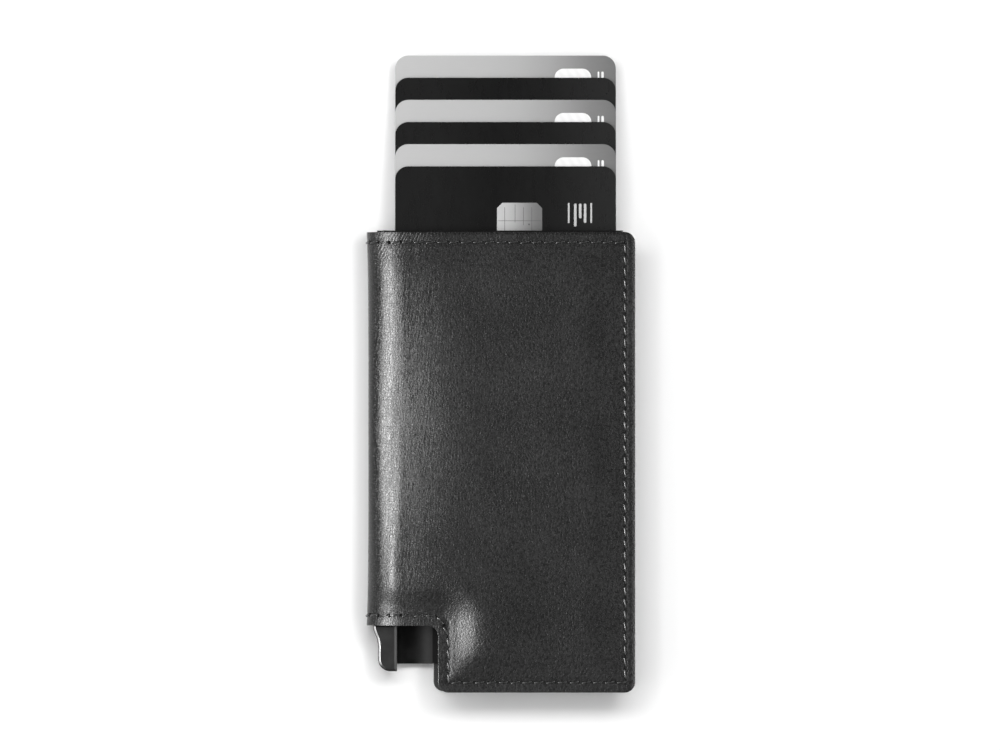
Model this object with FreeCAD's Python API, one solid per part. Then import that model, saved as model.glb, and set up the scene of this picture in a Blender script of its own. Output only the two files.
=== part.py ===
"""Pop-up card wallet: a leather bifold round a metal card case with a thumb lever.

Millimetres. The wallet lies on its back cover. +Z is up through the front cover, +Y points
out of the card mouth and +X away from the spine. The origin is the centre of the back cover's
outer face. Six cards stand fanned out of the mouth, and the lever is released.
"""

import FreeCAD, Part
import math
import os

# Cards, ISO/IEC 7810 ID-1
CARD_WIDTH = 53.98
CARD_HEIGHT = 85.60
CARD_THICKNESS = 0.76
CARD_CORNER = 3.18
CARD_COUNT = 6
CARD_GAP = 0.10  # between neighbouring cards
FRONT_CARD_SHOW = 15.7  # front card above the case mouth
FAN_STEP = 5.44  # each card behind stands this much higher
STOW_DEPTH = 1.4  # card tops below the mouth when stowed

# Leather cover
COVER_WIDTH = 65.6
COVER_HEIGHT = 112.4
LEATHER = 1.3
LINING = 0.6
POCKET = 0.6
OUTER_CORNER = 2.6
FOLD_GAP = 0.05  # between mitred edges at each fold
LINING_INSET = 0.4
FOLD_FRONT = 12.0  # soft bend across the front cover, where its linings stop
FOLD_SIDE = 5.0  # the same bend down the spine
FOLD_BACK = 3.0  # bend at the back, both ways
NOTCH_WIDTH = 17.5
NOTCH_HEIGHT = 16.3
NOTCH_CORNER = 3.0
BACK_NOTCH_PROUD = 1.2  # back cover shows this much beside the front cover's notch
POCKET_TALL_TOP = 30.0
POCKET_SHORT_TOP = 12.0

# Metal case
CASE_WALL = 1.0
CASE_CORNER = 2.0
SPINE_GAP = 0.6
SIDE_MARGIN = 2.9  # leather outside the case on the open side
MOUTH_PROUD = 0.4
CASE_FOOT = 1.8  # leather below the case
COVER_GAP = 0.3  # front cover above the case
NOTCH_HIDE = 0.4  # case edge hidden under the leather's notch
FELT = 0.5
FELT_PLAY = 0.06
FELT_WIDTH = 8.0
SIDE_PLAY = 0.75
PART_CLEARANCE = 0.05

# Lever
PIN_RADIUS = 1.0
PIN_PLAY = 0.05
PIN_SEAT = 0.02
HUB_RADIUS = 2.4
HUB_CLEARANCE = 0.3
HUB_BELOW_CARDS = 1.2
TIP_RADIUS = 1.0
TIP_GAP = 0.15
BLADE_BELOW_CARDS = 0.3
SPRING_WIRE = 0.17
SPRING_RADIUS = 1.55
SPRING_POCKET_RADIUS = 2.0
SPRING_PITCH = 0.40
SPRING_HEIGHT = 1.4
LIP_WIDTH = 4.6
LIP_HEIGHT = 11.5
LIP_CHAMFER = 0.35
LIP_SETBACK = 2.8  # lip face inside the leather outline
FLARE_SETBACK = 1.3
FLARE_HEIGHT = 3.2
LIP_UNDER_COVER = 0.2  # lip edge tucked under the leather
BASE_THICKNESS = 0.4
BASE_BAR = 1.9
FLOOR_HEIGHT = 9.5  # thumb floor below the notch's upper edge
TROUGH_RADIUS = 9.0
TROUGH_DEPTH = 0.9

# Card trim
CHIP_WIDTH = 11.03
CHIP_HEIGHT = 12.0
CHIP_CHAMFER = 1.3
CHIP_BELOW_TOP = 8.9
CHIP_FROM_LEFT = 24.9
PATCH_SIDE = 9.0
PATCH_CORNER = 2.2
PATCH_BELOW_TOP = 3.2
PATCH_FROM_RIGHT = 10.5
TRIM_THICKNESS = 0.08
TRIM_PROUD = 0.02
TRIM_PLAY = 0.03

# Thickness, from the back cover up
case_bottom = LEATHER + LINING
room_bottom = case_bottom + CASE_WALL
first_card = room_bottom + FELT + FELT_PLAY
card_pitch = CARD_THICKNESS + CARD_GAP
pack_top = first_card + CARD_COUNT * card_pitch - CARD_GAP
room_top = pack_top + FELT_PLAY + FELT
case_top = room_top + CASE_WALL
pocket_bottom = case_top + COVER_GAP
cover_lining_bottom = pocket_bottom + 2 * POCKET
cover_bottom = cover_lining_bottom + LINING
total = cover_bottom + LEATHER

# Plan
half_width = COVER_WIDTH / 2
half_height = COVER_HEIGHT / 2
notch_x = -half_width + NOTCH_WIDTH
notch_top = -half_height + NOTCH_HEIGHT
back_bend_end = -half_width + FOLD_BACK
front_bend_end = -half_width + FOLD_FRONT
case_left = -half_width + LEATHER + LINING + SPINE_GAP
case_right = half_width - SIDE_MARGIN
room_left = case_left + CASE_WALL
room_right = case_right - CASE_WALL
case_foot = -half_height + CASE_FOOT
mouth = half_height + MOUTH_PROUD
card_right = room_right - SIDE_PLAY
card_left = card_right - CARD_WIDTH
stowed_bottom = mouth - STOW_DEPTH - CARD_HEIGHT

# Lever pivot, and the lip below both the cover's edge and the hub
pivot_x = room_left + HUB_RADIUS + HUB_CLEARANCE
pivot_y = stowed_bottom - HUB_BELOW_CARDS - HUB_RADIUS
lip_top = min(notch_top + LIP_UNDER_COVER, pivot_y - 1.5 * HUB_RADIUS)


def card_top(number):
    """Height of a card's top edge when fanned; card 1 is the rearmost."""
    return mouth + FRONT_CARD_SHOW + (CARD_COUNT - number) * FAN_STEP


def card_floor(number):
    """Z of a card's rear face."""
    return first_card + (number - 1) * card_pitch


def push_height(number):
    """Height of a blade tip's centre above the pivot when the lever is pressed."""
    return card_top(number) - CARD_HEIGHT - TIP_GAP - TIP_RADIUS - pivot_y


# Pressed, every blade pushes at one X: the cards' centre, or as near it as the case allows
centre_reach = math.hypot((card_left + card_right) / 2 - pivot_x, push_height(1))
longest = min(centre_reach, room_right - pivot_x - TIP_RADIUS - HUB_CLEARANCE)
push_reach = math.sqrt(longest**2 - push_height(1) ** 2)
rest_height = stowed_bottom - BLADE_BELOW_CARDS - TIP_RADIUS - pivot_y
swing = math.atan2(push_height(1), push_reach) - math.asin(rest_height / longest)


def outline(corners):
    """Closed wire through (x, y, radius) corners, each rounded by its radius."""
    entries = []
    middles = []
    exits = []
    for index, (x, y, radius) in enumerate(corners):
        corner = FreeCAD.Vector(x, y, 0)
        before = corners[index - 1]
        after = corners[(index + 1) % len(corners)]
        back = (FreeCAD.Vector(before[0], before[1], 0) - corner).normalize()
        ahead = (FreeCAD.Vector(after[0], after[1], 0) - corner).normalize()
        half = back.getAngle(ahead) / 2
        bisector = (back + ahead).normalize()
        reach = radius / math.tan(half)
        entries.append(corner + back * reach)
        exits.append(corner + ahead * reach)
        middles.append(corner + bisector * (radius / math.sin(half) - radius))
    edges = []
    for index, corner in enumerate(corners):
        edges.append(Part.makeLine(exits[index - 1], entries[index]))
        if corner[2] > 0:
            arc = Part.Arc(entries[index], middles[index], exits[index])
            edges.append(arc.toShape())
    return Part.Wire(edges)


def plate(corners, z0, z1):
    """Flat solid with the given outline in X and Y."""
    solid = Part.Face(outline(corners)).extrude(FreeCAD.Vector(0, 0, z1 - z0))
    solid.translate(FreeCAD.Vector(0, 0, z0))
    return solid


def bar(corners, y0, y1):
    """Solid running from y0 to y1 with the given outline in X and Z."""
    solid = plate(corners, -y1, -y0)
    solid.rotate(FreeCAD.Vector(0, 0, 0), FreeCAD.Vector(1, 0, 0), 90)
    return solid


def block(x0, x1, y0, y1, z0, z1):
    """Plain box between the given planes."""
    return Part.makeBox(x1 - x0, y1 - y0, z1 - z0, FreeCAD.Vector(x0, y0, z0))


def rectangle(x0, x1, y0, y1, radius):
    """Corners of a rectangle, all with one radius."""
    return [(x0, y0, radius), (x1, y0, radius), (x1, y1, radius), (x0, y1, radius)]


def upright(x, y, radius, z0, z1):
    """Cylinder along Z."""
    return Part.makeCylinder(radius, z1 - z0, FreeCAD.Vector(x, y, z0))


def panel(left, inset, side, top, z0, z1):
    """Cover-shaped sheet with the corner notch, inset from the leather's outline."""
    right = half_width - inset
    bottom = -half_height + inset
    step = notch_top + inset
    outer = OUTER_CORNER - inset
    corners = [
        (left, step, 0),
        (side + inset, step, NOTCH_CORNER + inset),
        (side + inset, bottom, NOTCH_CORNER - inset),
        (right, bottom, outer),
        (right, top, outer),
        (left, top, 0),
    ]
    return plate(corners, z0, z1)


def fold_cutter(edge_z, direction):
    """Wedge that mitres a cover at its fold; direction is +1 for the back, -1 for the front."""
    x = -half_width + FOLD_GAP
    reach = 4 * LEATHER
    corners = [
        (x - reach, edge_z - direction * reach, 0),
        (x + reach, edge_z + direction * reach, 0),
        (x - reach, edge_z + direction * reach, 0),
    ]
    return bar(corners, -COVER_HEIGHT, COVER_HEIGHT)


def back_leather():
    """Rear cover, mitred along the spine; its face is the mount."""
    side = notch_x - BACK_NOTCH_PROUD
    sheet = panel(-half_width, 0, side, half_height, 0, LEATHER)
    return sheet.cut(fold_cutter(0, 1))


def back_lining():
    """Sheet between the rear cover and the case."""
    side = notch_x - BACK_NOTCH_PROUD
    top = half_height - LINING_INSET
    return panel(back_bend_end, LINING_INSET, side, top, LEATHER, case_bottom)


def cover_leather():
    """Front cover, mitred along the spine."""
    sheet = panel(-half_width, 0, notch_x, half_height, cover_bottom, total)
    return sheet.cut(fold_cutter(total, -1))


def cover_lining():
    """Inner face of the front cover."""
    top = half_height - LINING_INSET
    floor = cover_lining_bottom
    return panel(front_bend_end, LINING_INSET, notch_x, top, floor, cover_bottom)


def pocket(top, layer):
    """Card pocket sewn on the front cover's inner face; layer 0 is nearest the case."""
    floor = pocket_bottom + layer * POCKET
    return panel(front_bend_end, LINING_INSET, notch_x, top, floor, floor + POCKET)


def spine_leather():
    """Strip joining the two covers, mitred at both folds."""
    outer = -half_width
    inner = outer + LEATHER
    corners = [
        (outer, FOLD_GAP, 0),
        (inner, LEATHER + FOLD_GAP, 0),
        (inner, cover_bottom - FOLD_GAP, 0),
        (outer, total - FOLD_GAP, 0),
    ]
    return bar(corners, notch_top, half_height)


def spine_lining():
    """Sheet inside the spine, between its two bends."""
    inner = -half_width + LEATHER
    y0 = notch_top + LINING_INSET
    y1 = half_height - LINING_INSET
    return block(inner, inner + LINING, y0, y1, FOLD_BACK, total - FOLD_SIDE)


def case_shell():
    """Rectangular metal tube, open at the mouth, with its notch-side corner cut away."""
    outside = rectangle(case_left, case_right, case_bottom, case_top, CASE_CORNER)
    inner_corner = CASE_CORNER - CASE_WALL
    inside = rectangle(room_left, room_right, room_bottom, room_top, inner_corner)
    tube = bar(outside, case_foot, mouth).cut(bar(inside, case_foot, mouth))
    corner_x = notch_x + NOTCH_HIDE
    corner_y = notch_top + NOTCH_HIDE
    corner = block(-COVER_WIDTH, corner_x, -COVER_HEIGHT, corner_y, 0, total)
    tube = tube.cut(corner)
    return tube.cut(upright(pivot_x, pivot_y, PIN_RADIUS + PIN_SEAT, 0, total))


def base_plate():
    """Plastic foot: closes the case, carries the lever's floor and the thumb trough."""
    left = room_left + PART_CLEARANCE + CASE_CORNER - CASE_WALL
    right = room_right - PART_CLEARANCE - CASE_CORNER + CASE_WALL
    z0 = room_bottom + PART_CLEARANCE
    z1 = z0 + BASE_THICKNESS
    edge_x = notch_x + NOTCH_HIDE
    edge_y = notch_top + NOTCH_HIDE
    floor_foot = notch_top - FLOOR_HEIGHT
    floor_left = -half_width + LIP_SETBACK + LIP_WIDTH - 2 * HUB_CLEARANCE
    sheet_top = stowed_bottom - HUB_CLEARANCE
    inner = block(edge_x, right, case_foot, sheet_top, z0, z1)
    bridge = block(left, edge_x, edge_y, sheet_top, z0, z1)
    thick_right = edge_x - PART_CLEARANCE
    thick_top = edge_y - PART_CLEARANCE
    floor = block(floor_left, thick_right, floor_foot, thick_top, case_bottom, z1)
    join_x = block(thick_right, edge_x, floor_foot, edge_y, z0, z1)
    join_y = block(floor_left, edge_x, thick_top, edge_y, z0, z1)
    foot_top = case_foot + BASE_BAR
    foot = block(edge_x, right, case_foot, foot_top, z0, room_top - PART_CLEARANCE)
    body = inner.multiFuse([bridge, floor, join_x, join_y, foot]).removeSplitter()
    trough_x = (floor_left + notch_x) / 2
    trough_z = z1 - TROUGH_DEPTH + TROUGH_RADIUS
    start = FreeCAD.Vector(trough_x, floor_foot - 1, trough_z)
    length = thick_top - floor_foot + 1
    trough = Part.makeCylinder(TROUGH_RADIUS, length, start, FreeCAD.Vector(0, 1, 0))
    body = body.cut(trough)
    return body.cut(upright(pivot_x, pivot_y, PIN_RADIUS + PIN_SEAT, 0, total))


def card_guide():
    """Rail that fills the case beside the cards."""
    x0 = room_left + PART_CLEARANCE
    x1 = card_left - 4 * PART_CLEARANCE
    y0 = pivot_y + 4 * HUB_RADIUS
    z0 = room_bottom + CASE_CORNER - CASE_WALL
    z1 = room_top - CASE_CORNER + CASE_WALL
    return block(x0, x1, y0, mouth - MOUTH_PROUD, z0, z1)


def felt_strip(z0):
    """Friction strip across the case just inside the mouth."""
    y1 = mouth - 2 * STOW_DEPTH
    return block(card_left + STOW_DEPTH, card_right - STOW_DEPTH, y1 - FELT_WIDTH, y1, z0, z0 + FELT)


def pivot_pin():
    """Steel pin through both faces of the case."""
    z0 = case_bottom + PART_CLEARANCE
    return upright(pivot_x, pivot_y, PIN_RADIUS, z0, case_top - PART_CLEARANCE)


def return_spring():
    """Coil in the top of the lever's hub."""
    top = card_floor(CARD_COUNT) + CARD_THICKNESS
    start = FreeCAD.Vector(pivot_x, pivot_y, top - SPRING_HEIGHT - SPRING_WIRE)
    path = Part.makeHelix(SPRING_PITCH, SPRING_HEIGHT, SPRING_RADIUS)
    section = Part.makeCircle(
        SPRING_WIRE, FreeCAD.Vector(SPRING_RADIUS, 0, 0), FreeCAD.Vector(0, 1, 0)
    )
    coil = Part.Wire(path.Edges).makePipeShell([Part.Wire([section])], True, True)
    coil.translate(start)
    return coil


def link(reach, angle, z0, z1):
    """Tapered arm from the hub to a rounded tip."""
    lean = math.acos((HUB_RADIUS - TIP_RADIUS) / reach)
    tip_x = pivot_x + reach * math.cos(angle)
    tip_y = pivot_y + reach * math.sin(angle)

    def rim(x, y, radius, turn):
        return FreeCAD.Vector(x + radius * math.cos(turn), y + radius * math.sin(turn), z0)

    hub_low = rim(pivot_x, pivot_y, HUB_RADIUS, angle - lean)
    hub_back = rim(pivot_x, pivot_y, HUB_RADIUS, angle + math.pi)
    hub_high = rim(pivot_x, pivot_y, HUB_RADIUS, angle + lean)
    tip_low = rim(tip_x, tip_y, TIP_RADIUS, angle - lean)
    tip_far = rim(tip_x, tip_y, TIP_RADIUS, angle)
    tip_high = rim(tip_x, tip_y, TIP_RADIUS, angle + lean)
    edges = [
        Part.makeLine(hub_low, tip_low),
        Part.Arc(tip_low, tip_far, tip_high).toShape(),
        Part.makeLine(tip_high, hub_high),
        Part.Arc(hub_high, hub_back, hub_low).toShape(),
    ]
    return Part.Face(Part.Wire(edges)).extrude(FreeCAD.Vector(0, 0, z1 - z0))


def lip_corners():
    """Outline of the thumb lip, from its upper inner corner round by the flare."""
    face = -half_width + LIP_SETBACK
    inner = face + LIP_WIDTH
    foot = lip_top - LIP_HEIGHT
    flare = -half_width + FLARE_SETBACK
    return [
        (inner, lip_top, 0.3),
        (flare, lip_top, 0.4),
        (flare, lip_top - FLARE_HEIGHT / 4, 0.5),
        (face, lip_top - FLARE_HEIGHT, 2.0),
        (face, foot + LIP_WIDTH / 2, 2.2),
        (inner - LIP_WIDTH / 2, foot + LIP_WIDTH / 8, 2.0),
        (inner, foot, 0.3),
    ]


def lip_floor():
    """Z of the lip's rear face."""
    return card_floor(1) + 4 * PART_CLEARANCE


def lip_roof():
    """Z of the lip's front face."""
    return room_top - 8 * PART_CLEARANCE


def tongue(play):
    """Stub of the lever that the lip is fixed on, grown by a play all round."""
    x0 = pivot_x - HUB_RADIUS / 2 - play
    x1 = pivot_x + HUB_RADIUS / 4 + play
    y0 = lip_top - LIP_HEIGHT / 2 - play
    z0 = lip_floor() + 1.2 - play
    z1 = lip_roof() - 1.2 + play
    return block(x0, x1, y0, pivot_y, z0, z1)


def ejector_lever():
    """Stepped lever: one blade at each card's depth, all on one hub, with a tongue below."""
    pieces = []
    for number in range(1, CARD_COUNT + 1):
        height = push_height(number)
        reach = math.hypot(push_reach, height)
        angle = math.atan2(height, push_reach) - swing
        z0 = card_floor(number) - CARD_GAP / 2
        pieces.append(link(reach, angle, z0, z0 + card_pitch))
    foot = lip_top + PART_CLEARANCE
    arm_left = pivot_x - HUB_RADIUS + HUB_CLEARANCE
    hub_top = card_floor(CARD_COUNT) - CARD_GAP / 2 + card_pitch
    pieces.append(block(arm_left, pivot_x + HUB_RADIUS / 2, foot, pivot_y, lip_floor(), hub_top))
    pieces.append(tongue(0))
    body = pieces[0].multiFuse(pieces[1:]).removeSplitter()
    body = body.cut(upright(pivot_x, pivot_y, PIN_RADIUS + PIN_PLAY, 0, total))
    pocket_floor = hub_top - SPRING_HEIGHT - 4 * SPRING_WIRE
    return body.cut(upright(pivot_x, pivot_y, SPRING_POCKET_RADIUS, pocket_floor, total))


def trigger_cap():
    """Metal lip under the thumb, with bevelled faces."""
    body = plate(lip_corners(), lip_floor(), lip_roof())
    rims = []
    for edge in body.Edges:
        box = edge.BoundBox
        flat = box.ZLength < 0.001
        if flat and (abs(box.ZMin - lip_roof()) < 0.001 or abs(box.ZMin - lip_floor()) < 0.001):
            rims.append(edge)
    body = body.makeChamfer(LIP_CHAMFER, rims)
    return body.cut(tongue(PIN_SEAT))


def chip_outline(grow):
    """Contact plate with its upper corners cut, on the front card."""
    x0 = card_left + CHIP_FROM_LEFT - grow
    x1 = x0 + CHIP_WIDTH + 2 * grow
    y1 = card_top(CARD_COUNT) - CHIP_BELOW_TOP + grow
    y0 = y1 - CHIP_HEIGHT - 2 * grow
    corners = [
        (x0, y0 + CHIP_CHAMFER, 0),
        (x0 + CHIP_CHAMFER, y0, 0),
        (x1 - CHIP_CHAMFER, y0, 0),
        (x1, y0 + CHIP_CHAMFER, 0),
        (x1, y1 - CHIP_CHAMFER, 0),
        (x1 - CHIP_CHAMFER, y1, 0),
        (x0 + CHIP_CHAMFER, y1, 0),
        (x0, y1 - CHIP_CHAMFER, 0),
    ]
    return corners


def patch_outline(number, grow):
    """Rounded square inlay near the top of a light card."""
    x1 = card_right - PATCH_FROM_RIGHT + PATCH_SIDE / 2 + grow
    x0 = x1 - PATCH_SIDE - 2 * grow
    y1 = card_top(number) - PATCH_BELOW_TOP + grow
    return rectangle(x0, x1, y1 - PATCH_SIDE - 2 * grow, y1, PATCH_CORNER)


def trim_corners(number, grow):
    """Outline of the inlay on a card's front face, or none."""
    if number == CARD_COUNT:
        return chip_outline(grow)
    if number % 2 == 1:
        return patch_outline(number, grow)
    return None


def card(number):
    """Card with a shallow seat for its inlay."""
    top = card_top(number)
    floor = card_floor(number)
    face = floor + CARD_THICKNESS
    corners = rectangle(card_left, card_right, top - CARD_HEIGHT, top, CARD_CORNER)
    body = plate(corners, floor, face)
    seat = trim_corners(number, TRIM_PLAY)
    if seat:
        body = body.cut(plate(seat, face - TRIM_THICKNESS + TRIM_PROUD, face + 1))
    return body


def card_trim(number):
    """Inlay on a card's front face."""
    face = card_floor(number) + CARD_THICKNESS + TRIM_PROUD
    return plate(trim_corners(number, 0), face - TRIM_THICKNESS, face)


parts = {
    "back_leather": back_leather(),
    "back_lining": back_lining(),
    "case_shell": case_shell(),
    "base_plate": base_plate(),
    "card_guide": card_guide(),
    "felt_rear": felt_strip(room_bottom),
    "felt_front": felt_strip(room_top - FELT),
    "pivot_pin": pivot_pin(),
    "return_spring": return_spring(),
    "spine_leather": spine_leather(),
    "spine_lining": spine_lining(),
    "cover_leather": cover_leather(),
    "cover_lining": cover_lining(),
    "pocket_tall": pocket(POCKET_TALL_TOP, 1),
    "pocket_short": pocket(POCKET_SHORT_TOP, 0),
    "ejector_lever": ejector_lever(),
    "trigger_cap": trigger_cap(),
}
for number in range(1, CARD_COUNT + 1):
    parts[f"card_{number}"] = card(number)
    if trim_corners(number, 0):
        kind = "chip" if number == CARD_COUNT else "patch"
        parts[f"card_{number}_{kind}"] = card_trim(number)

os.makedirs("parts", exist_ok=True)
for name, shape in parts.items():
    shape.exportStep(f"parts/{name}.step")
print(f"pieces {len(parts)}, thickness {total:.3f}, swing {math.degrees(swing):.3f}")
print(f"pivot {pivot_x:.3f} {pivot_y:.3f}, first card floor {first_card:.3f}")
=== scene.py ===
import bmesh
import bpy
import math
from mathutils import Matrix, Vector, noise


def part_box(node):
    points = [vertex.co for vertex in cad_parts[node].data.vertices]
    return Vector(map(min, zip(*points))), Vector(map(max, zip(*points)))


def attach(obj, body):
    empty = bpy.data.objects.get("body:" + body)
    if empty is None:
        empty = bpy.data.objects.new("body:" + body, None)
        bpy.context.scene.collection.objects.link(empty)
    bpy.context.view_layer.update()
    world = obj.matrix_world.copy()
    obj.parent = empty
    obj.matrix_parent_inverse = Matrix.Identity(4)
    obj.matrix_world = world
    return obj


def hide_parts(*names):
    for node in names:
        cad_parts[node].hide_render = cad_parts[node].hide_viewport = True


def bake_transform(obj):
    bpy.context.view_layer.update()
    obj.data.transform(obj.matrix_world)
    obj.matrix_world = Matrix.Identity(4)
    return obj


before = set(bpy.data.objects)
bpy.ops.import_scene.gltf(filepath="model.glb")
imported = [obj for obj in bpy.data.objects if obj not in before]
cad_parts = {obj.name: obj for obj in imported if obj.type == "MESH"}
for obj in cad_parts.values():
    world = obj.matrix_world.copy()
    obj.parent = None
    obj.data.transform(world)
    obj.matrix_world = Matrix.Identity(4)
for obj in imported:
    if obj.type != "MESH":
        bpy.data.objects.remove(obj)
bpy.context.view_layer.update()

MM = 0.001
LIFT = 0.02 * MM  # of the wallet off the floor

# ---------------------------------------------------------------- sizes, from the fixed frame
cover_low, cover_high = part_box("cover_leather")
spine_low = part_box("spine_leather")[0]
LEFT = spine_low.x
RIGHT = cover_high.x
TOP = cover_high.y
BOTTOM = cover_low.y
FACE = cover_high.z
MIDDLE = FACE / 2
NOTCH_TOP = spine_low.y
NOTCH_SIDE = LEFT + 17.5 * MM
BACK_NOTCH_SIDE = NOTCH_SIDE - 1.2 * MM
THICK = cover_high.z - cover_low.z
CORNER = 2.6 * MM
NOTCH_CORNER = 2.5 * MM
SEAM_INSET = 2.5 * MM
STITCH_PITCH = 2.87 * MM
STITCH_LENGTH = 2.6 * MM
STITCH_TILT = 9.0  # degrees off the seam
THREAD_RADIUS = 0.25 * MM
STITCH_PROUD = 0.14 * MM  # thread's centre off the leather
STITCH_DIVE = 0.34 * MM  # of each end into its hole
HOLE_RADIUS = 0.36 * MM
GROOVE_REACH = 0.45  # mm to either side of the seam
RIM_ROUNDING = 0.48 * MM
RIM_ROLL = 0.24  # mm that the open edge is rolled down
RIM_REACH = 0.6  # mm
RIM_ANGLE = 0.9  # radians; a sharper fold is a rim
WAIST = 0.42 * MM  # drawn in at the middle of the spine
FRONT_BEND = (9.2 * MM, 5.6 * MM)  # across the cover, down the spine
BACK_BEND = (3.0 * MM, 3.0 * MM)
PRINT_THICKNESS = 0.012  # mm
LIP_SETBACK = 2.8 * MM  # lip's outer face inside the leather's outline
SPINE_MIDDLE = (TOP + NOTCH_TOP) / 2
SPINE_REACH = (TOP - NOTCH_TOP) / 2


# ---------------------------------------------------------------- shape of the leather
def ease(value, low, high):
    t = min(max((value - low) / (high - low), 0.0), 1.0)
    return t * t * (3 - 2 * t)


def slope_off(past):
    """Rises from 0 to 1 between 6 mm before the bend's end and 18 mm past it."""
    share = min(max((past + 6.0) / 24.0, 0.0), 1.0)
    if share < 0.25:
        return share * share / 0.25
    return 1 - (1 - share) ** 2 / 0.75


class Half:
    """Half of the leather, cut flat and laid round the spine.

    A point of the flat cut is (along, y): along runs from the middle of the spine, round the
    bend, to the open edge. side is +1 for the front and -1 for the back. crown is how far the
    middle swells, and press is how deep the seam is pressed in, both in millimetres. seam_turn
    is the reach of the seam's curve beside the cut-out, across and along the spine.
    """

    def __init__(self, side, bend, notch_side, crown, press, seam_turn):
        across, down = bend
        self.side = side
        self.press = press
        self.seam_turn = seam_turn
        self.across = across
        self.down = down
        self.crown = crown
        self.face = FACE if side > 0 else 0.0
        self.wall = MIDDLE - down
        self.turns = [(0.0, 0.0)]
        steps = 96
        length = 0.0
        for step in range(1, steps + 1):
            angle = math.pi / 2 * (step - 0.5) / steps
            rate = math.hypot(across * math.sin(angle), down * math.cos(angle))
            length += rate * math.pi / 2 / steps
            self.turns.append((length, math.pi / 2 * step / steps))
        self.bend_end = self.wall + length
        self.edge = self.bend_end + RIGHT - LEFT - across
        self.notch = self.bend_end + notch_side - LEFT - across

    def turned(self, along):
        """The bend's angle at a distance along the cut."""
        length = along - self.wall
        for (low, start), (high, end) in zip(self.turns, self.turns[1:]):
            if length <= high:
                return start + (end - start) * (length - low) / (high - low)
        return math.pi / 2

    def base(self, along):
        """x, z and the outward normal's x and z of the plain bend."""
        if along <= self.wall:
            return LEFT, MIDDLE + self.side * along, -1.0, 0.0
        if along >= self.bend_end:
            x = LEFT + self.across + along - self.bend_end
            return x, self.face, 0.0, float(self.side)
        angle = self.turned(along)
        x = LEFT + self.across * (1 - math.cos(angle))
        z = self.face - self.side * self.down * (1 - math.sin(angle))
        nx = -math.cos(angle) * self.down
        nz = self.side * math.sin(angle) * self.across
        length = math.hypot(nx, nz)
        return x, z, nx / length, nz / length

    def inset(self, along, y):
        """Distance to the nearest cut edge."""
        beside = max(0.0, along - self.notch)
        above = max(0.0, y - NOTCH_TOP)
        return min(self.edge - along, TOP - y, y - BOTTOM, math.hypot(beside, above))

    def relief(self, along, y):
        """How far the surface stands off the plain bend: a pressed seam round a soft crown."""
        inset = self.inset(along, y) / MM
        past = (along - self.bend_end) / MM
        rolled = -RIM_ROLL * math.exp(-(((self.edge - along) / MM / RIM_REACH) ** 2))
        seam = -self.press * math.exp(-(((inset - SEAM_INSET / MM) / GROOVE_REACH) ** 2))
        pull = 1.9 * (1 - min(1.0, abs(y - SPINE_MIDDLE) / SPINE_REACH) ** 1.5) - 0.25
        away = math.hypot(max(0.0, along - self.notch), max(0.0, y - NOTCH_TOP)) / MM
        shape = ease(inset, 1.6, 11.0) - pull * (1 - slope_off(past))
        low = ease((y - BOTTOM) / MM, 3.0, 13.0)
        shape += 0.75 * low * ease(away, 2.6, 11.5) * (1 - ease(away, 10.0, 32.0))
        broad = noise.noise(Vector((along / MM / 15.0, y / MM / 19.0, self.side)))
        fold = noise.noise(Vector((along / MM / 2.4, y / MM / 26.0, 7.0 * self.side)))
        near = 1 - ease(past, 0.0, 10.0)
        soft = 0.16 * broad * ease(inset, 2.5, 8.0) + 0.12 * fold * near * ease(inset, 2.0, 7.0)
        face = ease(along, self.wall, self.bend_end - 2 * MM)
        return (rolled + seam + self.crown * (shape + soft) * face) * MM

    def lay(self, along, y, lift=0.0):
        """The place in the frame of a point of the flat cut."""
        x, z, nx, nz = self.base(along)
        off = self.relief(along, y) + lift
        waist = WAIST * (1 - min(1.0, abs(y - SPINE_MIDDLE) / SPINE_REACH) ** 5)
        waist *= 1 - ease(along, self.wall, self.bend_end)
        return Vector((x + nx * off + waist, y, z + nz * off))

    def frame_at(self, along, y, heading):
        """Axes for a stitch: along its heading in the flat cut, and off the surface."""
        step = 0.2 * MM
        dx, dy = math.cos(heading) * step, math.sin(heading) * step
        ahead = self.lay(along + dx, y + dy) - self.lay(along - dx, y - dy)
        beside = self.lay(along - dy, y + dx) - self.lay(along + dy, y - dx)
        ahead.normalize()
        up = ahead.cross(beside).normalized()
        if self.side < 0:
            up.negate()
        return ahead, up


FRONT = Half(1, FRONT_BEND, NOTCH_SIDE, crown=0.8, press=0.11, seam_turn=(4.2 * MM, 8.0 * MM))
BACK = Half(-1, BACK_BEND, BACK_NOTCH_SIDE, crown=0.0, press=0.44,
            seam_turn=(SEAM_INSET, SEAM_INSET))


# ---------------------------------------------------------------- modelling helpers
def deselect():
    if bpy.context.mode != "OBJECT":
        bpy.ops.object.mode_set(mode="OBJECT")
    bpy.ops.object.select_all(action="DESELECT")


def pick(piece):
    """Makes one piece the only selected and active one."""
    deselect()
    piece.select_set(True)
    bpy.context.view_layer.objects.active = piece


def settle(piece, name):
    """Moves a piece's place into its mesh and names it."""
    pick(piece)
    bpy.ops.object.transform_apply(location=True, rotation=True, scale=True)
    piece.name = name
    piece.data.name = name
    return piece


def choose(piece, kind, test):
    """In edit mode, selects only the vertices, edges or faces that pass a test."""
    bpy.ops.mesh.select_mode(type=kind)
    bpy.ops.mesh.select_all(action="DESELECT")
    mesh = bmesh.from_edit_mesh(piece.data)
    items = {"VERT": mesh.verts, "EDGE": mesh.edges, "FACE": mesh.faces}[kind]
    for item in items:
        if test(item):
            item.select_set(True)
    bmesh.update_edit_mesh(piece.data)


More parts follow.
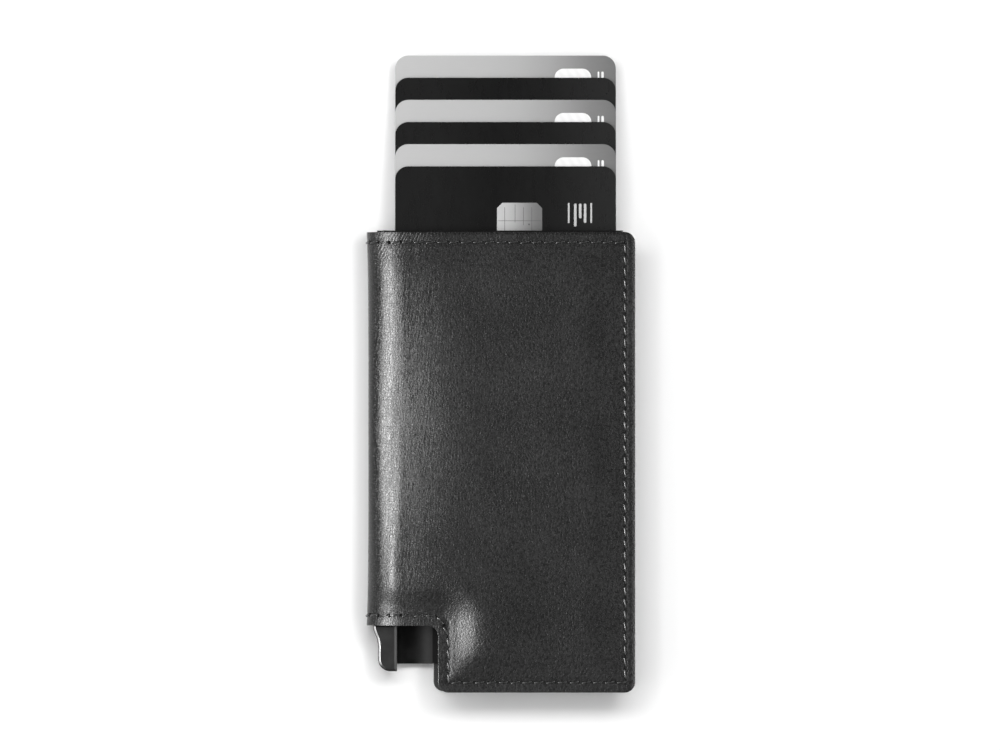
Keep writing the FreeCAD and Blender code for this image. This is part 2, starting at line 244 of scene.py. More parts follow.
def cut(place, normal):
    """Cuts everything in edit mode along one plane."""
    bpy.ops.mesh.select_all(action="SELECT")
    bpy.ops.mesh.bisect(plane_co=place, plane_no=normal)


def smooth(piece, degrees):
    pick(piece)
    bpy.ops.object.shade_smooth_by_angle(angle=math.radians(degrees))


def join(pieces, name):
    pick(pieces[0])
    for piece in pieces[1:]:
        piece.select_set(True)
    bpy.ops.object.join()
    return settle(bpy.context.view_layer.objects.active, name)


# ---------------------------------------------------------------- shader helpers
class Value:
    """A shader socket that arithmetic can be written on."""

    def __init__(self, finish, socket):
        self.finish = finish
        self.socket = socket

    def _math(self, operation, *terms):
        return self.finish.add("Math", terms, operation=operation)

    def __add__(self, other):
        return self._math("ADD", self, other)

    def __sub__(self, other):
        return self._math("SUBTRACT", self, other)

    def __rsub__(self, other):
        return self._math("SUBTRACT", other, self)

    def __mul__(self, other):
        return self._math("MULTIPLY", self, other)

    __radd__ = __add__
    __rmul__ = __mul__

    def over(self, low, high):
        """0 below low, 1 above high, smooth between."""
        inputs = {"Value": self, "From Min": low, "From Max": high}
        return self.finish.add("MapRange", inputs, interpolation_type="SMOOTHSTEP")

    def wave(self):
        return self._math("SINE", self)

    def size(self):
        return self._math("ABSOLUTE", self)


class Finish:
    """A material, built from nodes."""

    def __init__(self, name):
        self.material = bpy.data.materials.new(name)
        self.material.use_nodes = True
        self.tree = self.material.node_tree
        self.shader = self.tree.nodes["Principled BSDF"]

    def add(self, kind, inputs=(), out=0, stops=None, **settings):
        """Adds a node: its settings first, then its sockets' values or links."""
        node = self.tree.nodes.new("ShaderNode" + kind)
        for key, value in settings.items():
            setattr(node, key, value)
        if stops:
            while len(node.color_ramp.elements) < len(stops):
                node.color_ramp.elements.new(1.0)
            for element, (place, shade) in zip(node.color_ramp.elements, stops):
                element.position = place
                element.color = (*shade, 1.0)
        pairs = inputs.items() if isinstance(inputs, dict) else enumerate(inputs)
        for key, value in pairs:
            self.feed(node.inputs[key], value)
        return Value(self, node.outputs[out])

    def feed(self, socket, value):
        if isinstance(value, Value):
            self.tree.links.new(value.socket, socket)
        else:
            socket.default_value = value

    def set(self, **values):
        """Feeds the surface's own sockets; underscores stand for spaces."""
        for key, value in values.items():
            self.feed(self.shader.inputs[key.replace("_", " ")], value)
        return self.material

    def place(self):
        """The piece's own coordinates, in millimetres."""
        own = self.add("TexCoord", out="Object")
        return self.add("Mapping", {"Vector": own, "Scale": (1000.0,) * 3})

    def flat(self, stretch=(1.0, 1.0), turn=0.0):
        """The uncut sheet's coordinates in millimetres, turned and then stretched."""
        sheet = self.add("UVMap", uv_map="flat")
        turned = self.add("Mapping", {"Vector": sheet, "Rotation": (0.0, 0.0, turn)})
        size = (1000.0 * stretch[0], 1000.0 * stretch[1], 1.0)
        return self.add("Mapping", {"Vector": turned, "Scale": size})

    def parts(self, vector):
        node = self.tree.nodes.new("ShaderNodeSeparateXYZ")
        self.feed(node.inputs[0], vector)
        return [Value(self, socket) for socket in node.outputs]

    def noise(self, vector, scale, detail=3.0, roughness=0.55, distortion=0.0, flat=False):
        inputs = {
            "Vector": vector,
            "Scale": scale,
            "Detail": detail,
            "Roughness": roughness,
            "Distortion": distortion,
        }
        return self.add("TexNoise", inputs, noise_dimensions="2D" if flat else "3D")

    def mix(self, share, first, second):
        inputs = {0: share, 6: first, 7: second}
        return self.add("Mix", inputs, out=2, data_type="RGBA")

    def bump(self, height_mm):
        """Height in millimetres to a normal."""
        return self.add("Bump", {"Height": height_mm, "Distance": MM, "Strength": 1.0})


def grey(value):
    return (value, value, value, 1.0)


# ---------------------------------------------------------------- finishes
def grained_leather():
    """Black calf: fine pebbles and wrinkles, creases along the bend, and painted shade that
    darkens the seam rows and a strip along the top edge.
    """
    f = Finish("grained_leather")
    sheet = f.flat()
    warp = f.noise(sheet, 0.7, 2.0, flat=True)
    moved = f.add("VectorMath", [sheet, f.add("CombineXYZ", [warp * 0.9, warp * -0.7, 0.0])],
                  operation="ADD")
    pebbles = f.add("TexVoronoi", {"Vector": moved, "Scale": 1.4, "Randomness": 1.0},
                    voronoi_dimensions="2D", feature="DISTANCE_TO_EDGE")
    small = f.add("TexVoronoi", {"Vector": moved, "Scale": 2.7, "Randomness": 1.0},
                  voronoi_dimensions="2D", feature="DISTANCE_TO_EDGE")
    pores = f.noise(sheet, 5.0, 3.0, 0.65, flat=True)
    wrinkles = f.noise(f.flat((1.3, 0.8), 0.08), 1.5, 2.0, 0.6, 0.5, flat=True).over(0.38, 0.62)
    patches = f.noise(sheet, 0.07, 3.0, 0.6, flat=True)
    worn = f.noise(sheet, 0.33, 3.0, 0.6, flat=True)
    across, along, _ = f.parts(sheet)
    bend = 1 - across.over(6.0, 36.0)
    lines = f.noise(f.flat((1.9, 0.32), 0.12), 1.0, 3.0, 0.6, 0.3, flat=True)
    folds = 1 - ((lines - 0.5).size() * 9.0).over(0.0, 1.0)
    pleats = (across * 7.5 + (TOP / MM - along) * 3.6 + warp * 7.0).wave()
    upper = along.over(TOP / MM - 10.0, TOP / MM - 4.0) * (1 - across.over(14.0, 26.0))
    pebble = pebbles.over(0.0, 0.34) * 0.015 + small.over(0.0, 0.3) * 0.006
    grain = (pebble + wrinkles * 0.007) * (1 - bend * 0.5) + pores * 0.004
    creases = folds * bend * -0.013 + pleats * upper * 0.016
    height = grain + creases + worn * 0.03
    dark = f.mix(patches.over(0.35, 0.7), grey(0.0170), grey(0.0245))
    tops = pebbles.over(0.05, 0.42) * 0.40 + wrinkles * 0.60
    # Painted shade: the three straight seam rows and a strip along the top edge are darkened in
    # the colour, standing for the shadow in the seam's groove and at the edge.
    top_row = 1 - (along - (TOP - SEAM_INSET) / MM).size().over(0.15, 0.5)
    low_row = 1 - (along - (BOTTOM + SEAM_INSET) / MM).size().over(0.15, 0.5)
    side_row = 1 - (across - (FRONT.edge - SEAM_INSET) / MM).size().over(0.15, 0.5)
    top_rim = along.over(TOP / MM - 0.75, TOP / MM - 0.5)
    painted_seam_shade = (top_row + low_row + side_row + top_rim).over(0.0, 1.0)
    shade = f.mix(tops * (1 - painted_seam_shade * 0.9), grey(0.0005), dark)
    rough = 0.32 + patches * 0.04 - pebbles.over(0.0, 0.35) * 0.09
    return f.set(Base_Color=shade, Roughness=rough, Normal=f.bump(height),
                 Specular_IOR_Level=0.5)


def burnished_edge():
    """Cut edge of the leather, painted and rubbed smooth."""
    f = Finish("burnished_edge")
    p = f.place()
    fibres = f.noise(p, 3.0, 4.0, 0.6)
    shade = f.mix(fibres.over(0.35, 0.7), grey(0.003), grey(0.008))
    return f.set(Base_Color=shade, Roughness=0.11 + fibres * 0.09, Normal=f.bump(fibres * 0.005),
                 Specular_IOR_Level=0.85)


def inner_leather():
    """Smooth leather of the wallet's inside and its pockets, its colour set darker than the outer
    leather as painted shade for the inside seen in the cut-out.
    """
    f = Finish("inner_leather")
    p = f.place()
    cells = f.add("TexVoronoi", {"Vector": p, "Scale": 1.4}, feature="DISTANCE_TO_EDGE")
    nap = f.noise(p, 4.0, 4.0, 0.65)
    cloud = f.noise(p, 0.12, 3.0)
    shade = f.mix(cloud.over(0.3, 0.7), grey(0.007), grey(0.012))
    height = cells.over(0.0, 0.2) * 0.02 + nap * 0.02
    return f.set(Base_Color=shade, Roughness=0.5 + nap * 0.15, Normal=f.bump(height),
                 Specular_IOR_Level=0.4)


def woven_lining():
    """Fine black twill inside the covers."""
    f = Finish("woven_lining")
    x, y, _ = f.parts(f.place())
    warp = (x * 9.0).wave()
    weft = (y * 9.0).wave()
    rib = ((x + y) * 4.5).wave()
    thread = warp * weft * 0.5 + 0.5
    fuzz = f.noise(f.place(), 3.0, 3.0)
    shade = f.mix(thread, grey(0.014), grey(0.034))
    return f.set(Base_Color=shade, Roughness=0.75 + fuzz * 0.15,
                 Normal=f.bump(thread * 0.03 + rib * 0.012), Sheen_Weight=0.15)


def felt():
    f = Finish("felt")
    p = f.place()
    hair = f.noise(p, 6.0, 5.0, 0.75, 0.8)
    shade = f.mix(hair, grey(0.02), grey(0.07))
    return f.set(Base_Color=shade, Roughness=0.95, Normal=f.bump(hair * 0.10), Sheen_Weight=0.3)


def anodised(name, tone, rough, draw):
    """Dark anodised aluminium, drawn along one axis."""
    f = Finish(name)
    p = f.place()
    stretch = {"Vector": p, "Scale": draw}
    lines = f.noise(f.add("Mapping", stretch), 1.0, 4.0, 0.6)
    bloom = f.noise(p, 0.25, 3.0)
    blast = f.noise(p, 9.0, 2.0, 0.6)
    shade = f.mix(bloom.over(0.3, 0.7), grey(tone * 0.85), grey(tone * 1.15))
    return f.set(Base_Color=shade, Metallic=0.85, Roughness=rough + lines * 0.10 + bloom * 0.05,
                 Normal=f.bump(lines * 0.006 + blast * 0.006))


def bevel_painted_highlight():
    """Bright bare metal, given only to the lip's bevel faces that face the left lamps: a painted
    highlight.
    """
    f = Finish("bevel_painted_highlight")
    lines = f.noise(f.add("Mapping", {"Vector": f.place(), "Scale": (9.0, 0.5, 9.0)}), 1.0, 2.0)
    shade = f.mix(lines, grey(0.17), grey(0.25))
    return f.set(Base_Color=shade, Metallic=1.0, Roughness=0.16 + lines * 0.1,
                 Normal=f.bump(lines * 0.002))


def moulded_plastic():
    """Black nylon with a fine spark-eroded texture."""
    f = Finish("moulded_plastic")
    p = f.place()
    spark = f.noise(p, 6.0, 3.0, 0.7)
    cloud = f.noise(p, 0.3, 2.0)
    shade = f.mix(cloud.over(0.3, 0.7), grey(0.004), grey(0.008))
    return f.set(Base_Color=shade, Roughness=0.42 + spark * 0.15, Normal=f.bump(spark * 0.012),
                 Specular_IOR_Level=0.1)


def turned_steel():
    f = Finish("turned_steel")
    p = f.place()
    rings = f.noise(f.add("Mapping", {"Vector": p, "Scale": (1.0, 1.0, 30.0)}), 1.0, 2.0)
    shade = f.mix(rings, grey(0.42), grey(0.60))
    return f.set(Base_Color=shade, Metallic=1.0, Roughness=0.22 + rings * 0.12,
                 Normal=f.bump(rings * 0.004))


def thread():
    """Waxed polyester, twisted."""
    f = Finish("thread")
    turn, along, _ = f.parts(f.add("UVMap", uv_map="UVMap"))
    ply = (turn * 6.283 + along * 30.0).wave() * 0.5 + 0.5
    fuzz = f.noise(f.place(), 4.0, 3.0)
    shade = f.mix(ply, grey(0.008), grey(0.036))
    return f.set(Base_Color=shade, Roughness=0.18 + fuzz * 0.10, Normal=f.bump(ply * 0.010),
                 Specular_IOR_Level=1.0)


def needle_hole():
    # The hole is a near-black disc: painted shade standing for the shadowed depth of the hole.
    f = Finish("needle_hole")
    dust = f.noise(f.place(), 5.0, 2.0)
    return f.set(Base_Color=f.mix(dust, grey(0.001), grey(0.004)), Roughness=0.9,
                 Specular_IOR_Level=0.1)


def silver_card():
    """Light card: a brushed silver print, with painted shade that darkens it towards the right."""
    f = Finish("silver_card")
    p = f.place()
    x, _, _ = f.parts(p)
    drawn = f.noise(f.add("Mapping", {"Vector": p, "Scale": (0.35, 14.0, 1.0)}), 1.0, 3.0, 0.6)
    share = x.over(-26.0, 29.0)
    # Painted shade: the colour steps down from the left of the card to the right.
    painted_shading_ramp = f.add("ValToRGB", {"Fac": (x + 26.0) * (1 / 54.0)}, stops=[
        (0.0, (0.46,) * 3), (0.42, (0.415,) * 3), (0.56, (0.38,) * 3), (0.70, (0.31,) * 3),
        (0.88, (0.175,) * 3), (1.0, (0.125,) * 3)])
    brushed_and_shaded = f.mix(drawn.over(0.25, 0.75) * 0.10, painted_shading_ramp, grey(0.30))
    fine = f.noise(p, 8.0, 2.0)
    return f.set(Base_Color=brushed_and_shaded, Roughness=0.34 + drawn * 0.14 - share * 0.03,
                 Normal=f.bump(drawn * 0.003 + fine * 0.0015), Specular_IOR_Level=0.45,
                 Coat_Weight=0.15, Coat_Roughness=0.25)


def black_card():
    """Dark card: black satin laminate with faint handling marks, and painted light that darkens it
    just left of the middle and makes it a shade paler to the right.
    """
    f = Finish("black_card")
    p = f.place()
    x, _, _ = f.parts(p)
    # Painted light and shade: the colour dips just left of the middle and rises towards the right.
    painted_shading_ramp = f.add("ValToRGB", {"Fac": (x + 26.0) * (1 / 54.0)}, stops=[
        (0.0, (0.0030,) * 3), (0.15, (0.0036,) * 3), (0.45, (0.0004,) * 3),
        (0.70, (0.0030,) * 3), (0.9, (0.0095,) * 3), (1.0, (0.0115,) * 3)])
    rub = f.noise(f.add("Mapping", {"Vector": p, "Scale": (0.6, 0.2, 1.0)}), 1.0, 4.0, 0.6)
    fine = f.noise(p, 7.0, 2.0, 0.6)
    return f.set(Base_Color=painted_shading_ramp, Roughness=0.24 + rub * 0.08, Normal=f.bump(fine * 0.0010),
                 Specular_IOR_Level=0.35)


def pale_patch():
    """Pale inlay with a faint watered sheen."""
    f = Finish("pale_patch")
    p = f.place()
    x, y, _ = f.parts(p)
    ripple = ((x + y * 0.6) * 3.0).wave() * 0.5 + 0.5
    cloud = f.noise(p, 0.5, 2.0)
    shade = f.mix(ripple * 0.4 + cloud * 0.2, grey(0.86), grey(0.72))
    return f.set(Base_Color=shade, Roughness=0.25 + cloud * 0.1, Normal=f.bump(ripple * 0.002))


def pale_print():
    """Ink of the bars on the front card."""
    f = Finish("pale_print")
    speck = f.noise(f.place(), 5.0, 2.0)
    shade = f.mix(speck, grey(0.46), grey(0.50))
    return f.set(Base_Color=shade, Roughness=0.4 + speck * 0.08)


def contact_plate():
    """Satin nickel contacts, with a painted highlight that makes them brighter to the left."""
    f = Finish("contact_plate")
    p = f.place()
    x, _, _ = f.parts(p)
    low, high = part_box("card_6_chip")
    across = x.over(low.x / MM, high.x / MM)
    grain = f.noise(p, 7.0, 3.0, 0.6)
    # Painted highlight: the colour runs from bright at the left of the chip to dark at the right.
    shade = f.mix(across, grey(0.48), grey(0.135))
    return f.set(Base_Color=shade, Metallic=0.35, Roughness=0.36 + grain * 0.1,
                 Normal=f.bump(grain * 0.004))


def chip_groove():
    f = Finish("chip_groove")
    dust = f.noise(f.place(), 6.0, 2.0)
    return f.set(Base_Color=f.mix(dust, grey(0.05), grey(0.10)), Roughness=0.6)


def studio_floor():
    f = Finish("studio_floor")
    paper = f.noise(f.place(), 0.02, 2.0)
    shade = f.mix(paper, grey(0.93), grey(0.95))
    return f.set(Base_Color=shade, Roughness=0.7, Specular_IOR_Level=0.2)


LEATHER = grained_leather()
EDGE = burnished_edge()
INSIDE = inner_leather()
LINING = woven_lining()
THREAD = thread()
HOLE = needle_hole()
PLASTIC = moulded_plastic()
STEEL = turned_steel()
CASE = anodised("case_anodised", 0.012, 0.36, (8.0, 0.3, 8.0))
LIP = anodised("lip_anodised", 0.045, 0.26, (6.0, 0.4, 2.0))
BEVEL_HIGHLIGHT = bevel_painted_highlight()
FELT = felt()
SILVER = silver_card()
BLACK = black_card()
PATCH = pale_patch()
CONTACTS = contact_plate()
GROOVE = chip_groove()
PALE_PRINT = pale_print()


# ---------------------------------------------------------------- leather
EDGE_CUTS = [0.35, 0.8, 1.3, 1.8, 2.3, 2.8, 3.3, 4.0, 5.0, 6.5, 8.5]  # mm in from a cut edge


def cut_positions(half):
    """Where the flat sheet is divided: closely by the bend and the seams."""
    along = [half.wall * 0.5]
    steps = 22
    for step in range(steps + 1):
        along.append(half.wall + (half.bend_end - half.wall) * step / steps)
    place = half.bend_end + 2 * MM
    while place < half.edge - 9 * MM:
        along.append(place)
        place += 2.2 * MM
    up = []
    place = BOTTOM + 10 * MM
    while place < TOP - 9 * MM:
        up.append(place)
        place += 2.4 * MM
    for inset in EDGE_CUTS:
        along += [half.edge - inset * MM, half.notch + inset * MM]
        up += [TOP - inset * MM, BOTTOM + inset * MM, NOTCH_TOP + inset * MM]
    return thinned(along), thinned(up)


def thinned(places):
    """Sorted places, none closer than a quarter of a millimetre."""
    kept = []
    for place in sorted(places):
        if not kept or place - kept[-1] > 0.24 * MM:
            kept.append(place)
    return kept


def leather_half(half, name):
    """Cuts one half flat, rounds its corners, lays it round the spine and gives it thickness."""
    deselect()
    middle = (half.edge / 2, (TOP + BOTTOM) / 2, 0.0)
    bpy.ops.mesh.primitive_plane_add(size=1.0, location=middle)
    sheet = bpy.context.active_object
    sheet.scale = (half.edge, TOP - BOTTOM, 1.0)
    settle(sheet, name)
    bpy.ops.object.mode_set(mode="EDIT")
    cut((half.notch, 0, 0), (1, 0, 0))
    cut((0, NOTCH_TOP, 0), (0, 1, 0))
    choose(sheet, "FACE", lambda face: face.calc_center_median().x < half.notch
           and face.calc_center_median().y < NOTCH_TOP)
    bpy.ops.mesh.delete(type="FACE")
    bpy.ops.mesh.select_all(action="SELECT")
    bpy.ops.mesh.dissolve_limited(angle_limit=0.01)
    corners = [
        (half.notch, NOTCH_TOP, NOTCH_CORNER),
        (half.notch, BOTTOM, NOTCH_CORNER),
        (half.edge, BOTTOM, CORNER),
        (half.edge, TOP, CORNER),
    ]
    for x, y, radius in corners:
        spot = Vector((x, y, 0))
        choose(sheet, "VERT", lambda vertex: (vertex.co - spot).length < 0.1 * MM)
        bpy.ops.mesh.bevel(offset=radius, segments=8, profile=0.5, affect="VERTICES")
    along_cuts, up_cuts = cut_positions(half)
    for place in along_cuts:
        cut((place, 0, 0), (1, 0, 0))
    for place in up_cuts:
        cut((0, place, 0), (0, 1, 0))
    bpy.ops.object.mode_set(mode="OBJECT")
    flat = sheet.data.uv_layers.new(name="flat")
    for loop in sheet.data.loops:
        flat.data[loop.index].uv = sheet.data.vertices[loop.vertex_index].co.xy
    for vertex in sheet.data.vertices:
        vertex.co = half.lay(vertex.co.x, vertex.co.y)
    if half.side < 0:
        bpy.ops.object.mode_set(mode="EDIT")
        bpy.ops.mesh.select_all(action="SELECT")
        bpy.ops.mesh.flip_normals()
        bpy.ops.object.mode_set(mode="OBJECT")
    for material in (LEATHER, INSIDE, EDGE):
        sheet.data.materials.append(material)
    wall = sheet.modifiers.new("thickness", "SOLIDIFY")
    wall.thickness = THICK
    wall.offset = -1.0
    wall.material_offset = 1
    wall.material_offset_rim = 2
    bpy.ops.object.modifier_apply(modifier=wall.name)
    bpy.ops.object.mode_set(mode="EDIT")
    choose(sheet, "EDGE", is_rim)
    bpy.ops.mesh.bevel(offset=RIM_ROUNDING, segments=3, profile=0.5, affect="EDGES",
                       clamp_overlap=True, material=2)
    bpy.ops.object.mode_set(mode="OBJECT")
    smooth(sheet, 50)
    return sheet


def is_rim(edge):
    """A sharp edge of the cut leather, other than where the two halves meet."""
    if len(edge.link_faces) != 2 or edge.calc_face_angle(0.0) < RIM_ANGLE:
        return False
    centre = (edge.verts[0].co + edge.verts[1].co) / 2
    return abs(centre.z - MIDDLE) > 0.05 * MM


# ---------------------------------------------------------------- stitching
def seam_path(half):
    """Corner-rounded line of the seam in the flat cut, from the spine's middle and back to it."""
    right = half.edge - SEAM_INSET
    left = half.notch + SEAM_INSET
    top = TOP - SEAM_INSET
    bottom = BOTTOM + SEAM_INSET
    ledge = NOTCH_TOP + SEAM_INSET
    start = 0.6 * MM
    path = [(start, top), (right, top), (right, bottom), (left, bottom)]
    across, down = half.seam_turn
    turn = 14
    for index in range(turn + 1):
        angle = math.pi / 2 * index / turn
        x = left - across * (1 - math.cos(angle))
        path.append((x, ledge - down * (1 - math.sin(angle))))
    path.append((start, ledge))
    return path


def stepped(path, pitch):
    """Points and headings at an even pitch along each straight run or curve of a path."""
    lengths = [math.dist(a, b) for a, b in zip(path, path[1:])]
    total = sum(lengths)
    count = round(total / pitch)
    pitch = total / count
    places = []
    for number in range(count):
        wanted = (number + 0.5) * pitch
        for (a, b), length in zip(zip(path, path[1:]), lengths):
            if wanted <= length:
                share = wanted / length
                x = a[0] + (b[0] - a[0]) * share
                y = a[1] + (b[1] - a[1]) * share
                places.append((x, y, math.atan2(b[1] - a[1], b[0] - a[0])))
                break
            wanted -= length
    return places


def model_stitch():
    """One stitch, lying along X: a round thread that dives into a needle hole at each end."""
    deselect()
    bpy.ops.mesh.primitive_cylinder_add(vertices=8, radius=THREAD_RADIUS, depth=STITCH_LENGTH,
                                        end_fill_type="NGON", rotation=(0, math.pi / 2, 0))
    stitch = settle(bpy.context.active_object, "stitch")
    bpy.ops.object.mode_set(mode="EDIT")
    for share in (-0.45, -0.36, 0.0, 0.36, 0.45):
        cut((share * STITCH_LENGTH, 0, 0), (1, 0, 0))
    bpy.ops.object.mode_set(mode="OBJECT")
    for vertex in stitch.data.vertices:
        share = abs(vertex.co.x) / (STITCH_LENGTH / 2)
        swell = 1.0 - 0.35 * share**8
        vertex.co.y *= swell
        vertex.co.z = vertex.co.z * swell * 0.9 + STITCH_PROUD - STITCH_DIVE * share**16
    stitch.data.materials.append(THREAD)
    smooth(stitch, 70)
    holes = []
    for end in (-1, 1):
        deselect()
        place = (end * STITCH_LENGTH * 0.53, 0, 0.03 * MM)
        bpy.ops.mesh.primitive_circle_add(vertices=8, radius=HOLE_RADIUS, fill_type="TRIFAN",
                                          location=place)
        hole = bpy.context.active_object
        hole.scale = (1.1, 0.72, 1.0)
        settle(hole, "hole")
        for vertex in hole.data.vertices:
            if (vertex.co - Vector(place)).length > 0.2 * MM:
                vertex.co.z -= 0.05 * MM
        hole.data.materials.append(HOLE)
        holes.append(hole)
    return join([stitch, *holes], "stitch")


def sew(half, name):
    """Lays stitches along a half's seam, each a little askew."""
    pattern = model_stitch()
    row = []
    for number, (along, y, heading) in enumerate(stepped(seam_path(half), STITCH_PITCH)):
        tilt = math.radians(STITCH_TILT) * half.side + 0.05 * math.sin(number * 2.4)
        ahead, up = half.frame_at(along, y, heading + tilt)
        beside = up.cross(ahead).normalized()
        turn = Matrix((ahead, beside, up)).transposed().to_4x4()
        stitch = pattern.copy()
        stitch.data = pattern.data.copy()
        bpy.context.collection.objects.link(stitch)
        spot = half.lay(along, y, 0.02 * MM)
        stitch.matrix_world = Matrix.Translation(spot) @ turn
        row.append(stitch)
    bpy.data.objects.remove(pattern)
    bpy.context.view_layer.update()
    return join(row, name)


front_leather = leather_half(FRONT, "leather_front")
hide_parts("cover_leather")
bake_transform(front_leather)
back_leather = leather_half(BACK, "leather_back")
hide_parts("back_leather", "spine_leather")
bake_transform(back_leather)
front_seam = sew(FRONT, "seam_front")
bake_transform(front_seam)
back_seam = sew(BACK, "seam_back")
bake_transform(back_seam)


# ---------------------------------------------------------------- lip under the thumb
def lip():
    """Metal lip: a flare under the leather, a round lower corner, and a painted highlight of
    bright metal on the outer bevel faces that face left.
    """
    low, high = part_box("trigger_cap")
    face = LEFT + LIP_SETBACK
    flare = Vector((low.x + 0.3 * MM, high.y - 1.3 * MM, low.z))
    waist = Vector((face, high.y - 4.1 * MM, low.z))
    foot = Vector((face, low.y, low.z))
    width = high.x - flare.x
    height = high.y - low.y
    middle = (flare.x + width / 2, low.y + height / 2, low.z)
    deselect()
    bpy.ops.mesh.primitive_plane_add(size=1.0, location=middle)
    piece = bpy.context.active_object
    piece.scale = (width, height, 1.0)
    settle(piece, "trigger_lip")
    bpy.ops.object.mode_set(mode="EDIT")
    cut(waist, (1, 0, 0))
    cut(flare, (0, 1, 0))
    choose(piece, "FACE", lambda part: part.calc_center_median().x < waist.x
           and part.calc_center_median().y < flare.y)
    bpy.ops.mesh.delete(type="FACE")
    bpy.ops.mesh.select_all(action="SELECT")
    bpy.ops.mesh.dissolve_limited(angle_limit=0.01)
    corner = Vector((waist.x, flare.y, low.z))
    choose(piece, "VERT", lambda vertex: (vertex.co - corner).length < 0.1 * MM)
    bpy.ops.transform.translate(value=waist - corner)
    for spot, radius, steps in ((flare, 0.7, 6), (waist, 1.3, 10), (foot, 3.0, 18)):
        choose(piece, "VERT", lambda vertex: (vertex.co - spot).length < 0.1 * MM)
        bpy.ops.mesh.bevel(offset=radius * MM, segments=steps, affect="VERTICES")
    rounding, bevel = 0.10 * MM, 0.17 * MM
    rise = high.z - low.z - rounding - bevel
    bpy.ops.mesh.select_all(action="SELECT")
    bpy.ops.mesh.extrude_region_move(TRANSFORM_OT_translate={"value": (0, 0, rise)})
    bpy.ops.mesh.inset(thickness=0.18 * MM, depth=rounding)
    bpy.ops.mesh.inset(thickness=0.42 * MM, depth=bevel)
    bpy.ops.mesh.select_all(action="SELECT")
    bpy.ops.mesh.normals_make_consistent(inside=False)
    bpy.ops.object.mode_set(mode="OBJECT")
    piece.data.materials.append(LIP)
    piece.data.materials.append(BEVEL_HIGHLIGHT)
    # Painted highlight: only the bevel faces that face left, towards the lamps, get the bright
    # metal.
    for part in piece.data.polygons:
        outward = part.normal.x < -0.2 and 0.3 < part.normal.z < 0.99
        part.material_index = 1 if outward and part.center.z > high.z - bevel else 0
    smooth(piece, 14)
    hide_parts("trigger_cap")
    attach(piece, "trigger")


lip()


# ---------------------------------------------------------------- card print
def print_bar(name, x, y, width, height, face, material, corner=0.18):
    """Thin raised bar of print with rounded corners; all sizes but face are in millimetres."""
    deselect()
    place = (x * MM, y * MM, face + PRINT_THICKNESS * MM)
    bpy.ops.mesh.primitive_plane_add(size=1.0, location=place)
    bar = bpy.context.active_object
    bar.scale = (width * MM, height * MM, 1.0)
    settle(bar, name)
    bpy.ops.object.mode_set(mode="EDIT")
    bpy.ops.mesh.select_all(action="SELECT")
    if corner:
        bpy.ops.mesh.bevel(offset=corner * MM, segments=3, affect="VERTICES")
        bpy.ops.mesh.select_all(action="SELECT")
    down = (0, 0, -PRINT_THICKNESS * MM)
    bpy.ops.mesh.extrude_region_move(TRANSFORM_OT_translate={"value": down})
    bpy.ops.mesh.select_all(action="SELECT")
    bpy.ops.mesh.normals_make_consistent(inside=False)
    bpy.ops.object.mode_set(mode="OBJECT")
    bar.data.materials.append(material)
    return bar


def front_card_print():
    """A generic device on the front card: two fine rules with bars of even weight between."""
    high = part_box("card_6")[1]
    right, top = high.x / MM, high.y / MM
    bars = []
    for x in (right - 11.55, right - 6.05):
        bars.append(print_bar("rule", x, top - 11.4, 0.42, 4.9, high.z, PALE_PRINT, 0))
    for x, height in ((right - 9.95, 5.6), (right - 8.75, 3.6), (right - 7.55, 4.7)):
        y = top - 9.1 - height / 2
        bars.append(print_bar("bar", x, y, 0.62, height, high.z, PALE_PRINT, 0.25))
    piece = join(bars, "card_6_print")
    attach(piece, "card_6_body")


def light_card_print(number):
    """Two small pale bars beside the pale inlay."""
    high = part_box(f"card_{number}")[1]
    right, top = high.x / MM, high.y / MM
    bars = [
        print_bar("bar", right - 4.25, top - 4.75, 0.42, 1.7, high.z, PATCH, 0.2),
        print_bar("bar", right - 3.25, top - 4.75, 0.62, 1.7, high.z, PATCH, 0.3),
    ]
    piece = join(bars, f"card_{number}_print")
    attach(piece, f"card_{number}_body")


def chip_lines():
    """Grooves that part the chip's contacts."""
    low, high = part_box("card_6_chip")
    face = high.z
    x0, x1 = low.x / MM, high.x / MM
    y1 = high.y / MM
    width = 0.11
    lines = []
    for share, start, drop in ((0.17, 1.1, 11.2), (0.40, 0.4, 4.4), (0.585, 1.1, 4.4),
                               (0.77, 1.1, 11.2)):
        x = x0 + share * (x1 - x0)
        y = y1 - start - drop / 2
        lines.append(print_bar("groove", x, y, width, drop, face, GROOVE, 0))
    middle, length = (x0 + x1) / 2, x1 - x0 - 0.6
    for y in (y1 - 4.4, y1 - 8.0):
        lines.append(print_bar("groove", middle, y, length, width, face, GROOVE, 0))
    x = x0 + 0.71 * (x1 - x0)
    lines.append(print_bar("dot", x, y1 - 5.3, 0.42, 0.42, face, GROOVE, 0.18))
    piece = join(lines, "card_6_chip_lines")
    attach(piece, "card_6_body")


front_card_print()
chip_lines()
for number in (1, 3, 5):
    light_card_print(number)


# ---------------------------------------------------------------- finishes on the fixed frame
FINISHES = {
    "back_lining": LINING,
    "cover_lining": LINING,
    "spine_lining": LINING,
    "pocket_tall": INSIDE,
    "pocket_short": INSIDE,
    "case_shell": CASE,
    "base_plate": PLASTIC,
    "card_guide": PLASTIC,
    "felt_rear": FELT,
    "felt_front": FELT,
    "pivot_pin": STEEL,
    "return_spring": STEEL,
    "ejector_lever": PLASTIC,
    "card_6_chip": CONTACTS,
}
for number in range(1, 7):
    FINISHES[f"card_{number}"] = SILVER if number % 2 else BLACK
    if number % 2:
        FINISHES[f"card_{number}_patch"] = PATCH
for name, material in FINISHES.items():
    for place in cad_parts[name].material_slots:
        place.material = material


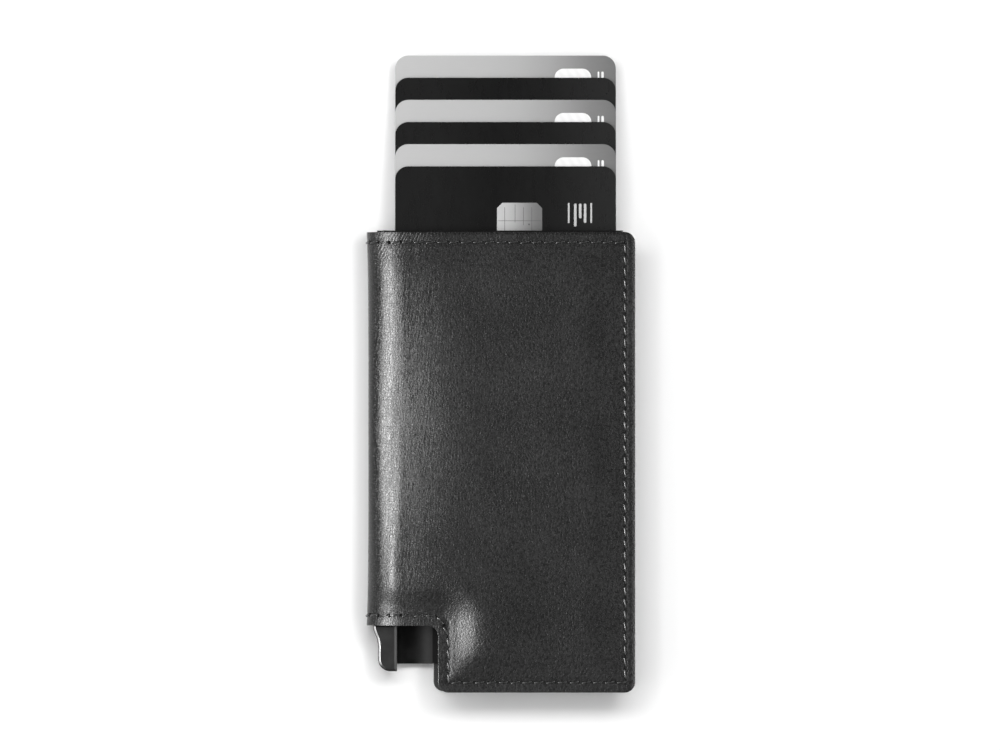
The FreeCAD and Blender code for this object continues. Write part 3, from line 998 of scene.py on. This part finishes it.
# ---------------------------------------------------------------- studio
deselect()
bpy.ops.mesh.primitive_plane_add(size=6.0, location=(0, 0, -LIFT))
floor = bpy.context.active_object
floor.name = "studio_floor"
floor.data.materials.append(studio_floor())


def softbox(name, place, width, height, watts, matt=True, gloss=True):
    """A soft lamp aimed at the wallet, which may leave out matt light or reflections."""
    lamp = bpy.data.lights.new(name, "AREA")
    lamp.shape = "RECTANGLE"
    lamp.size = width
    lamp.size_y = height
    lamp.energy = watts
    holder = bpy.data.objects.new(name, lamp)
    holder.location = place
    holder.rotation_euler = (-Vector(place)).to_track_quat("-Z", "Y").to_euler()
    holder.visible_diffuse = matt
    holder.visible_glossy = gloss
    bpy.context.collection.objects.link(holder)


softbox("left_box", (-0.72, 0.0, 0.72), 1.0, 0.35, 2.0)
softbox("upper_left_box", (-0.44, 0.0, 0.95), 0.7, 0.16, 1.2)
softbox("right_box", (0.75, 0.0, 0.75), 1.0, 0.35, 4.7, matt=False)
softbox("high_right_box", (0.40, 0.0, 1.00), 1.0, 0.28, 3.7, gloss=False)
softbox("far_box", (0.0, 0.42, 1.04), 1.0, 0.30, 7.9, gloss=False)
softbox("near_box", (0.0, -0.85, 0.75), 1.0, 0.35, 0.4)
softbox("glint_strip", (-0.60, -0.02, 0.82), 0.45, 0.17, 12.0, matt=False)
world = bpy.data.worlds.new("studio")
bpy.context.scene.world = world
world.use_nodes = True
sky = world.node_tree.nodes["Background"]
sky.inputs["Color"].default_value = (1, 1, 1, 1)
sky.inputs["Strength"].default_value = 0.19
bpy.context.scene.view_settings.view_transform = "Standard"

VIEW_WIDTH = 244.0 * MM  # at the front cover's height
VIEW_CENTRE = (-0.2 * MM, 21.3 * MM)
LENS = 400.0  # mm, so long that the view is nearly flat
SENSOR = 36.0
lens = bpy.data.cameras.new("camera")
lens.lens = LENS
lens.sensor_width = SENSOR
lens.clip_start, lens.clip_end = 0.01, 10.0
camera = bpy.data.objects.new("camera", lens)
bpy.context.collection.objects.link(camera)
camera.location = (*VIEW_CENTRE, FACE + VIEW_WIDTH * LENS / SENSOR)
bpy.context.scene.camera = camera
